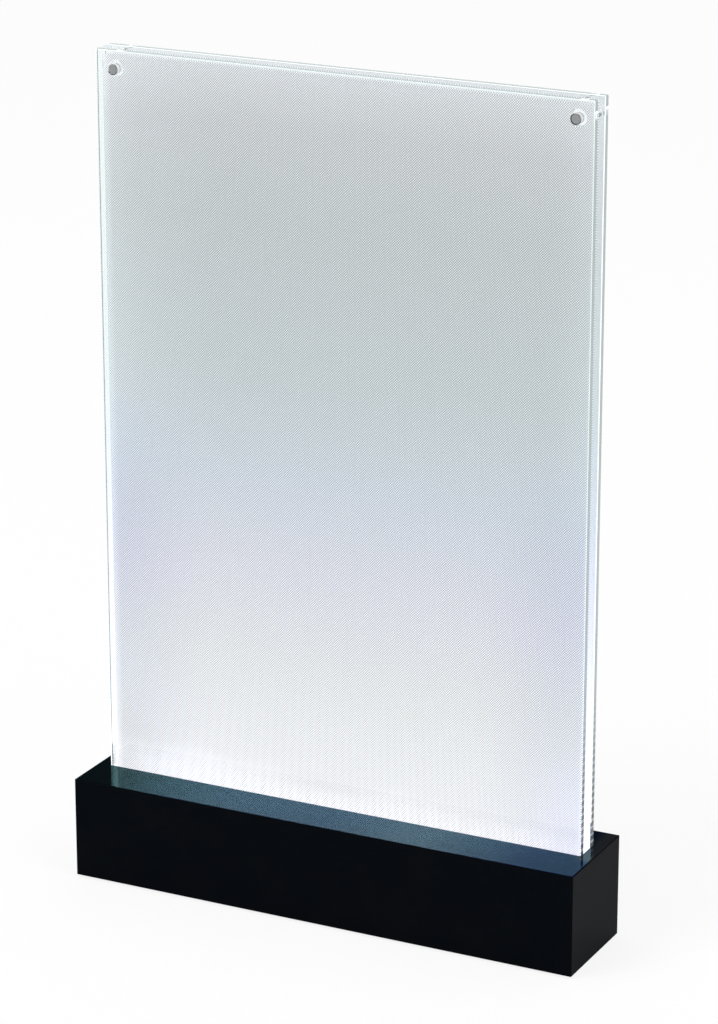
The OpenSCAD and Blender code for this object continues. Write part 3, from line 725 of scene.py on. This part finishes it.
# %% [markdown]
# ## A row of flattened balls
#
# The phosphor in each cup bulges a little, and a bead of solder lies at each end of a chip. Both are small
# flattened balls in a row, so one tree makes them: a line of points along the strip, with one ball on each.

# %% Row and balls
def row_of(graph, given, shape):
    """The shape on each point of a straight row."""
    row = graph.add("GeometryNodeMeshLine", {"mode": "OFFSET"},
                    {"Count": given["Count"], "Start Location": given["Start"], "Offset": given["Step"]})
    sockets = {"Points": row["Mesh"], "Instance": shape}
    return graph.add("GeometryNodeInstanceOnPoints", sockets=sockets)["Instances"]


def ball_tree(material, segments, rings):
    graph, given = started("row_of_balls", Count="Int", Start="Vector", Step="Vector", Half_Size="Vector")
    ball = graph.add("GeometryNodeMeshUVSphere",
                     sockets={"Segments": segments, "Rings": rings, "Radius": 1.0})
    sockets = {"Geometry": ball["Mesh"], "Scale": given["Half Size"]}
    flat = graph.add("GeometryNodeTransform", sockets=sockets)
    smooth = graph.add("GeometryNodeSetShadeSmooth", sockets={"Geometry": flat["Geometry"]})
    return ended(graph, row_of(graph, given, smooth["Geometry"]), material)


first_x = chip_low.x + chip_w / 2
print("chips:", chip_count)

# %% [markdown]
# ## Phosphor domes
#
# The resin in the cup is glossy, yellow from the phosphor in it, and lit from below. Its own light is close
# to white, so colour and emission differ. A very fine noise stands for the grains.

# %% Domes
phosphor = Finish("lit_phosphor", IOR=1.5, Emission_Strength=1.0)
powder = phosphor.noise(9000.0, 2.0)
phosphor.vary(
    Base_Color=phosphor.mix(powder, (0.78, 0.55, 0.08), (0.90, 0.72, 0.20)),
    Roughness=0.12 + 0.1 * powder,
    Emission_Color=phosphor.mix(powder, (0.80, 0.84, 0.90), (0.92, 0.95, 1.0)),
)
domes = grown(
    "phosphor_domes", ball_tree(phosphor.material, 20, 10), Count=chip_count,
    Start=(first_x, strip_mid, chip_high.z), Step=(chip_pitch, 0.0, 0.0),
    Half_Size=(1.15 * MM, 1.0 * MM, 0.2 * MM))
settle(domes, "base")

# %% [markdown]
# ## Solder fillets
#
# Tin solder sets with a bright, slightly frosted skin. A fillet lies half under each end of a chip, on the
# strip, which is why the balls are centred on the strip's surface.

# %% Fillets
fillet_x = 1.95 * MM
solder = Finish("tin_solder", Metallic=1.0)
frost = solder.noise(3800.0, 4.0)
solder.vary(
    Base_Color=solder.mix(frost, (0.55, 0.56, 0.57), (0.72, 0.72, 0.71)),
    Roughness=0.18 + 0.25 * frost,
    Normal=solder.bump(frost, 0.01 * MM),
)
for label, side in (("left", -1), ("right", 1)):
    fillets = grown(
        "solder_fillets_" + label, ball_tree(solder.material, 16, 8), Count=chip_count,
        Start=(first_x + side * fillet_x, strip_mid, strip_high.z), Step=(chip_pitch, 0.0, 0.0),
        Half_Size=(0.45 * MM, 0.9 * MM, 0.28 * MM))
    settle(fillets, "base")

# %% [markdown]
# ## Control board
#
# The board is glass cloth under green lacquer. Two things show through such a lacquer: the weave, as a faint
# square grid, and the copper, as lighter runs. The runs here are the borders of stretched cells, which wander
# like tracks do without drawing any real circuit.

# %% Green board
cloth = 0.5 * MM
board_green = Finish("green_lacquer_board", Specular_IOR_Level=0.5)
weave = board_green.x.wave(cloth) * board_green.y.wave(cloth)
runs = board_green.add("ShaderNodeTexVoronoi", {"feature": "DISTANCE_TO_EDGE", "distance": "EUCLIDEAN"},
                       {"Vector": board_green.stretched(260.0, 420.0, 1.0), "Scale": 1.0})["Distance"]
copper = runs.fall(0.05, 0.09)
woven = board_green.mix(0.5 + 0.5 * weave, (0.008, 0.085, 0.034), (0.012, 0.110, 0.045))
board_green.vary(
    Base_Color=board_green.mix(copper, woven, (0.03, 0.20, 0.08)),
    Roughness=0.30 + 0.08 * weave + 0.05 * copper,
    Normal=board_green.bump(copper + 0.1 * weave, 0.02 * MM),
)
dress(board_green, "control_board")

# %% [markdown]
# ## Parts on the board
#
# Chips are moulded in black epoxy full of mineral filler, which makes their skin a fine grey sparkle. The
# plugs are nylon, ivory and a little cloudy.

# %% Packages and plugs
package_black = Finish("moulded_packages", Specular_IOR_Level=0.4)
filler = package_black.noise(7000.0, 3.0)
package_black.vary(
    Base_Color=package_black.mix(filler, grey(0.014), grey(0.034)),
    Roughness=0.42 + 0.22 * filler,
    Normal=package_black.bump(filler, 0.01 * MM),
)
dress(package_black, "board_parts")

ivory = Finish("ivory_nylon", Specular_IOR_Level=0.4)
cloud = ivory.noise(500.0, 3.0)
ivory.vary(
    Base_Color=ivory.mix(cloud, (0.70, 0.66, 0.54), (0.82, 0.79, 0.69)),
    Roughness=0.38 + 0.15 * cloud,
    Normal=ivory.bump(ivory.noise(2800.0, 2.0), 0.01 * MM),
)
dress(ivory, "board_connectors")

# %% [markdown]
# ## Charging socket
#
# The shell is a stamped, nickel plated tube, drawn along its length, so its streaks run into the opening: a
# noise stretched along y.

# %% Drawn shell
drawn_nickel = Finish("drawn_nickel", Metallic=1.0)
streak = drawn_nickel.noise(1.0, 3.0, drawn_nickel.stretched(4200.0, 120.0, 4200.0))
drawn_nickel.vary(
    Base_Color=drawn_nickel.mix(streak, (0.46, 0.455, 0.44), (0.66, 0.655, 0.64)),
    Roughness=0.20 + 0.2 * streak,
    Normal=drawn_nickel.bump(streak, 0.004 * MM),
)
dress(drawn_nickel, "socket_shell")

# %% [markdown]
# ## Contacts
#
# Inside the shell lies a black tongue with a row of gold contacts on each face. The contacts are the same
# little bar again and again: a rectangle with rounded corners, filled and extruded, on each point of a row.
# Extrude leaves the underside open, so a flipped copy of the face closes it.

# %% A row of bars
def bar_tree(material):
    graph, given = started("row_of_bars", Count="Int", Start="Vector", Step="Vector", Length="Float",
                           Width="Float", Height="Float")
    outline = graph.add("GeometryNodeCurvePrimitiveQuadrilateral", {"mode": "RECTANGLE"},
                        {"Width": given["Width"], "Height": given["Length"]})
    rounded = graph.add("GeometryNodeFilletCurve", {"mode": "POLY"},
                        {"Curve": outline["Curve"], "Count": 4, "Radius": given["Width"] * 0.4})
    face = graph.add("GeometryNodeFillCurve", {"mode": "NGONS"}, {"Curve": rounded["Curve"]})
    solid = graph.add("GeometryNodeExtrudeMesh", {"mode": "FACES"},
                      {"Mesh": face["Mesh"], "Offset Scale": given["Height"], "Individual": False})
    under = graph.add("GeometryNodeFlipFaces", sockets={"Mesh": face["Mesh"]})
    bar = joined(graph, solid["Mesh"], under["Mesh"])
    closed = graph.add("GeometryNodeMergeByDistance", sockets={"Geometry": bar, "Distance": 1e-7})
    return ended(graph, row_of(graph, given, closed["Geometry"]), material)


print("bars ready")

# %% [markdown]
# ## Gold on the tongue
#
# The contacts are plated with gold, which doesn't tarnish. A plug that slides in and out wears it along its
# way, so the noise is stretched along y. Twelve stand half a millimetre apart on each face of the tongue.

# %% Gold contacts
core_low, core_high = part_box("socket_core")
socket_x = (core_low.x + core_high.x) / 2
socket_z = (core_low.z + core_high.z) / 2
contact_count, contact_step = 12, 0.5 * MM
contact_l, contact_w, contact_h = 3.0 * MM, 0.26 * MM, 0.06 * MM
contact_y = core_high.y - 2.0 * MM
tongue_half = 0.35 * MM
gold = Finish("contact_gold", Metallic=1.0)
worn = gold.noise(1.0, 3.0, gold.stretched(3000.0, 500.0, 3000.0))
gold.vary(
    Base_Color=gold.mix(worn, (0.78, 0.52, 0.20), (0.90, 0.68, 0.34)),
    Roughness=0.18 + 0.16 * worn,
)
contact_x = socket_x - contact_step * (contact_count - 1) / 2
for label, base_z in (("upper", socket_z + tongue_half), ("lower", socket_z - tongue_half - contact_h)):
    contacts = grown(
        "socket_contacts_" + label, bar_tree(gold.material), Count=contact_count,
        Start=(contact_x, contact_y, base_z), Step=(contact_step, 0.0, 0.0),
        Length=contact_l, Width=contact_w, Height=contact_h)
    settle(contacts, "base")

# %% [markdown]
# ## Marks on the switch
#
# A rocker switch says with two plain marks which side is on: a bar for on and a ring for off. Both are
# moulded proud of the rocker and painted white. They are curves swept with a small flat profile.

# %% White paint and a tree for a mark
mark_paint = Finish("mark_paint", Specular_IOR_Level=0.4)
rub = mark_paint.noise(2600.0, 4.0)
mark_paint.vary(
    Base_Color=mark_paint.mix(rub.rise(0.6, 0.75), (0.80, 0.80, 0.78), (0.35, 0.35, 0.35)),
    Roughness=0.4 + 0.2 * rub,
)


def mark_tree(material, ring):
    graph, given = started("raised_mark", Reach="Float", Stroke="Float", Rise="Float")
    if ring:
        line = graph.add("GeometryNodeCurvePrimitiveCircle", {"mode": "RADIUS"},
                         {"Resolution": 48, "Radius": given["Reach"]})
    else:
        low = graph.add("ShaderNodeCombineXYZ", sockets={"Y": given["Reach"] * -1.0})["Vector"]
        high = graph.add("ShaderNodeCombineXYZ", sockets={"Y": given["Reach"]})["Vector"]
        line = graph.add("GeometryNodeCurvePrimitiveLine", {"mode": "POINTS"}, {"Start": low, "End": high})
    profile = graph.add("GeometryNodeCurvePrimitiveQuadrilateral", {"mode": "RECTANGLE"},
                        {"Width": given["Stroke"], "Height": given["Rise"]})
    eased = graph.add("GeometryNodeFilletCurve", {"mode": "POLY"},
                      {"Curve": profile["Curve"], "Count": 3, "Radius": given["Rise"] * 0.3})
    swept = graph.add("GeometryNodeCurveToMesh", sockets={
        "Curve": line["Curve"], "Profile Curve": eased["Curve"], "Fill Caps": True})
    return ended(graph, swept["Mesh"], material)


print("marks ready")

# %% [markdown]
# ## Laying the marks on the rocker
#
# The rocker has two slopes that meet at a low ridge, and at rest it is tilted to one side. Each mark is stood
# upright, leaned to its slope, moved out to the slope's middle, and turned with the rocker about its pivot.
# The marks ride on the rocker's body, so that they tilt with it.

# %% Bar and ring
hinge = [j for j in frame["joints"] if j["name"] == "power_switch"][0]
pivot = Vector(hinge["pos_m"])
tilt = math.radians(10.0)
ridge_out, slope_l, proud = 3.1 * MM, 5.3 * MM, 0.03 * MM
slope_out = ridge_out - slope_l / 2 * math.tan(tilt) + proud
upright = Matrix.Rotation(math.radians(90.0), 4, "X")
for label, ring, reach, side in (("bar", False, 1.25 * MM, -1), ("ring", True, 1.0 * MM, 1)):
    mark = grown("switch_mark_" + label, mark_tree(mark_paint.material, ring),
                 Reach=reach, Stroke=0.36 * MM, Rise=0.3 * MM)
    spot = Matrix.Translation((side * slope_l / 2, slope_out, 0.0)) @ Matrix.Rotation(side * tilt, 4, "Z")
    turn = Matrix.Translation(pivot) @ Matrix.Rotation(tilt, 4, "Z")
    mark.data.transform(turn @ spot @ upright)
    work = bmesh.new()
    work.from_mesh(mark.data)
    bmesh.ops.recalc_face_normals(work, faces=work.faces)
    work.to_mesh(mark.data)
    work.free()
    settle(mark, "rocker")

# %% [markdown]
# ## Blades, cells and foam
#
# The rest is seen only when the bottom cover is off, but it gets its own finish all the same. The switch's
# blades are tinned brass. A blue film is shrunk over the cells and wrinkles where it is pulled in at the
# ends, so its bump is held there by a mask. The foam under it is open, and scattered cells make its pores.

# %% Blades, cells, foam
brass = Finish("tinned_brass", Metallic=1.0)
tarnish = brass.noise(800.0, 4.0)
brass.vary(
    Base_Color=brass.mix(tarnish, (0.62, 0.47, 0.20), (0.80, 0.68, 0.42)),
    Roughness=0.22 + 0.2 * tarnish,
)
dress(brass, "switch_terminals")

pack_low, pack_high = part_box("battery_pack")
pack_l = pack_high.x - pack_low.x
film_blue = Finish("shrink_film", Specular_IOR_Level=0.5)
pulled = abs(film_blue.x - (pack_low.x + pack_high.x) / 2).rise(0.34 * pack_l, 0.5 * pack_l)
wrinkle = film_blue.noise(1.0, 4.0, film_blue.stretched(120.0, 520.0, 520.0))
film_blue.vary(
    Base_Color=film_blue.mix(wrinkle, (0.010, 0.060, 0.230), (0.022, 0.110, 0.340)),
    Roughness=0.16 + 0.2 * wrinkle * pulled,
    Normal=film_blue.bump(wrinkle * pulled, 0.25 * MM),
)
dress(film_blue, "battery_pack")

foam = Finish("open_foam", Specular_IOR_Level=0.2)
pore = foam.cells(2400.0)
foam.vary(
    Base_Color=foam.mix(pore, (0.34, 0.34, 0.32), (0.80, 0.80, 0.77)),
    Roughness=0.8 + 0.15 * pore,
    Normal=foam.bump(pore, 0.15 * MM),
)
dress(foam, "battery_pads")

# %% [markdown]
# ## Leads and weight
#
# The leads have smooth drawn insulation in three colours, so one function makes all three. The weight is a
# sawn steel bar: saw lines across it and patches of dark mill scale.

# %% Leads and weight
def insulation(name, dark, light):
    finish = Finish(name, Specular_IOR_Level=0.45)
    drawn = finish.noise(1400.0, 3.0)
    return finish.vary(
        Base_Color=finish.mix(drawn, dark, light),
        Roughness=0.32 + 0.16 * drawn,
        Normal=finish.bump(drawn, 0.008 * MM),
    )


dress(insulation("red_insulation", (0.30, 0.012, 0.010), (0.46, 0.024, 0.018)), "battery_leads")
dress(insulation("black_insulation", grey(0.010), grey(0.024)), "switch_leads")
dress(insulation("white_insulation", (0.66, 0.66, 0.63), (0.80, 0.80, 0.78)), "strip_leads")

sawn_steel = Finish("sawn_steel", Metallic=1.0)
saw_line = sawn_steel.noise(1.0, 3.0, sawn_steel.stretched(2200.0, 60.0, 90.0))
scale = sawn_steel.noise(160.0, 4.0).rise(0.45, 0.7)
sawn_steel.vary(
    Base_Color=sawn_steel.mix(scale, (0.34, 0.34, 0.345), (0.16, 0.155, 0.16)),
    Roughness=0.34 + 0.16 * saw_line + 0.14 * scale,
    Normal=sawn_steel.bump(saw_line, 0.02 * MM),
)
dress(sawn_steel, "steel_weight")

# %% [markdown]
# ## Camera
#
# The view is a long lens from the right and a little above. Azimuth turns it round the upright axis and
# elevation lifts it; the numbers come from fitting the box's and the panel's corners to a picture of 718 by
# 1024 pixels.

# %% Camera
azimuth, elevation = math.radians(26.60), math.radians(18.36)
distance, lens, sensor = 1518.7 * MM, 137.29, 36.0
look_at = Vector((7.46, 0.0, 168.13)) * MM
level_way = Vector((math.sin(azimuth), -math.cos(azimuth), 0.0))
back = level_way * math.cos(elevation) + Vector((0.0, 0.0, math.sin(elevation)))
camera = bpy.data.objects.new("camera", bpy.data.cameras.new("camera"))
bpy.context.scene.collection.objects.link(camera)
camera.data.sensor_width = sensor
camera.data.lens = lens
camera.data.clip_end = 50.0
camera.location = look_at + back * distance
camera.rotation_mode = "QUATERNION"
camera.rotation_quaternion = (-back).to_track_quat("-Z", "Y")
bpy.context.scene.camera = camera
print("camera at", [round(c, 3) for c in camera.location])

# %% [markdown]
# ## What counts as looked at
#
# A paper-white surround has to look white to the eye and through glass, but must not light the object more
# than a room does. A mirror is a third case: it shows the room as it is. Light Path tells these rays apart.

# %% Rays of the eye, of glass and of mirrors
def looked_at(graph):
    """1 for rays of the eye and through glass, and 1 for rays that come by a mirror."""
    path = graph.add("ShaderNodeLightPath")
    clear_ray = path["Is Camera Ray"].math("MAXIMUM", path["Is Transmission Ray"])
    return clear_ray, path["Is Glossy Ray"] * (1 - clear_ray)


print("rays ready")

# %% [markdown]
# ## Floor
#
# A white floor takes the soft shadow. Where it is looked at, most of its white is its own, so it reads as
# plain paper and the shadow stays light; as a lamp and in a mirror it is an ordinary white floor, and that is
# why the box's gloss side darkens towards its foot. It lies a hair below the feet, so that their undersides
# and the floor are never in one plane.

# %% Floor
half, floor_z = 6.0, -0.05 * MM
own_white = 0.84
floor_mesh = bpy.data.meshes.new("floor")
corners = [(x * half, y * half, floor_z) for x, y in ((-1, -1), (1, -1), (1, 1), (-1, 1))]
floor_mesh.from_pydata(corners, [], [(0, 1, 2, 3)])
floor = bpy.data.objects.new("floor", floor_mesh)
bpy.context.scene.collection.objects.link(floor)
floor_white = Finish("floor_white", Roughness=0.9, Specular_IOR_Level=0.0)
floor_white.vary(Base_Color=floor_white.mix(floor_white.noise(3.0), grey(0.93), grey(0.95)))
paper_white = floor_white.add("ShaderNodeEmission", sockets={"Color": grey(1.0) + (1.0,), "Strength": 1.0})
shown = floor_white.add("ShaderNodeMixShader", sockets={
    0: looked_at(floor_white)[0] * own_white, 1: floor_white.shader["BSDF"], 2: paper_white["Emission"]})
floor_white.tree.links.new(shown["Shader"].socket, floor_white.end.node.inputs["Surface"])
floor_mesh.materials.append(floor_white.material)
print("floor of", 2 * half, "m")

# %% [markdown]
# ## World
#
# The world is white down at the horizon and has a dim ceiling, as a studio has, so that a gloss black top
# doesn't mirror a white sky. It lights matt surfaces evenly.

# %% World
ceiling_from, ceiling_full, ceiling_dim = 0.17, 0.30, 0.92
room_light = 0.75
world = bpy.data.worlds.new("studio")
world.use_nodes = True
bpy.context.scene.world = world
world.node_tree.nodes.clear()
sky = Graph(world.node_tree)
direction = sky.add("ShaderNodeSeparateXYZ", sockets={"Vector": sky.add("ShaderNodeTexCoord")["Generated"]})
ceiling = direction["Z"].rise(ceiling_from, ceiling_full)
seen, mirrored = looked_at(sky)
strength = seen + mirrored * (1 - ceiling_dim * ceiling) + (1 - seen - mirrored) * room_light
air = sky.add("ShaderNodeBackground", sockets={"Color": grey(1.0) + (1.0,), "Strength": strength})
sky.add("ShaderNodeOutputWorld", sockets={"Surface": air["Background"]})
print("light of the room:", room_light)

# %% [markdown]
# ## Lamps
#
# Two wide discs, a key from the left and a weaker fill from the right, shape the box a little without hard
# shadows. A disc lamp is the plainest soft light there is.

# %% Lamps
def lamp(name, place, size, watts):
    light = bpy.data.lights.new(name, "AREA")
    light.shape, light.size, light.energy = "DISK", size, watts
    thing = bpy.data.objects.new(name, light)
    thing.location = place
    thing.rotation_mode = "QUATERNION"
    thing.rotation_quaternion = (look_at - Vector(place)).to_track_quat("-Z", "Y")
    bpy.context.scene.collection.objects.link(thing)
    print(name, "of", watts, "W")


lamp("key", (-1.3, -1.6, 2.4), 1.6, 34.0)
lamp("fill", (2.2, -0.6, 1.8), 1.6, 13.0)

# %% [markdown]
# ## The view transform
#
# The view transform stays plain, so colours are not bent.

# %% Plain view transform
bpy.context.scene.view_settings.view_transform = "Standard"
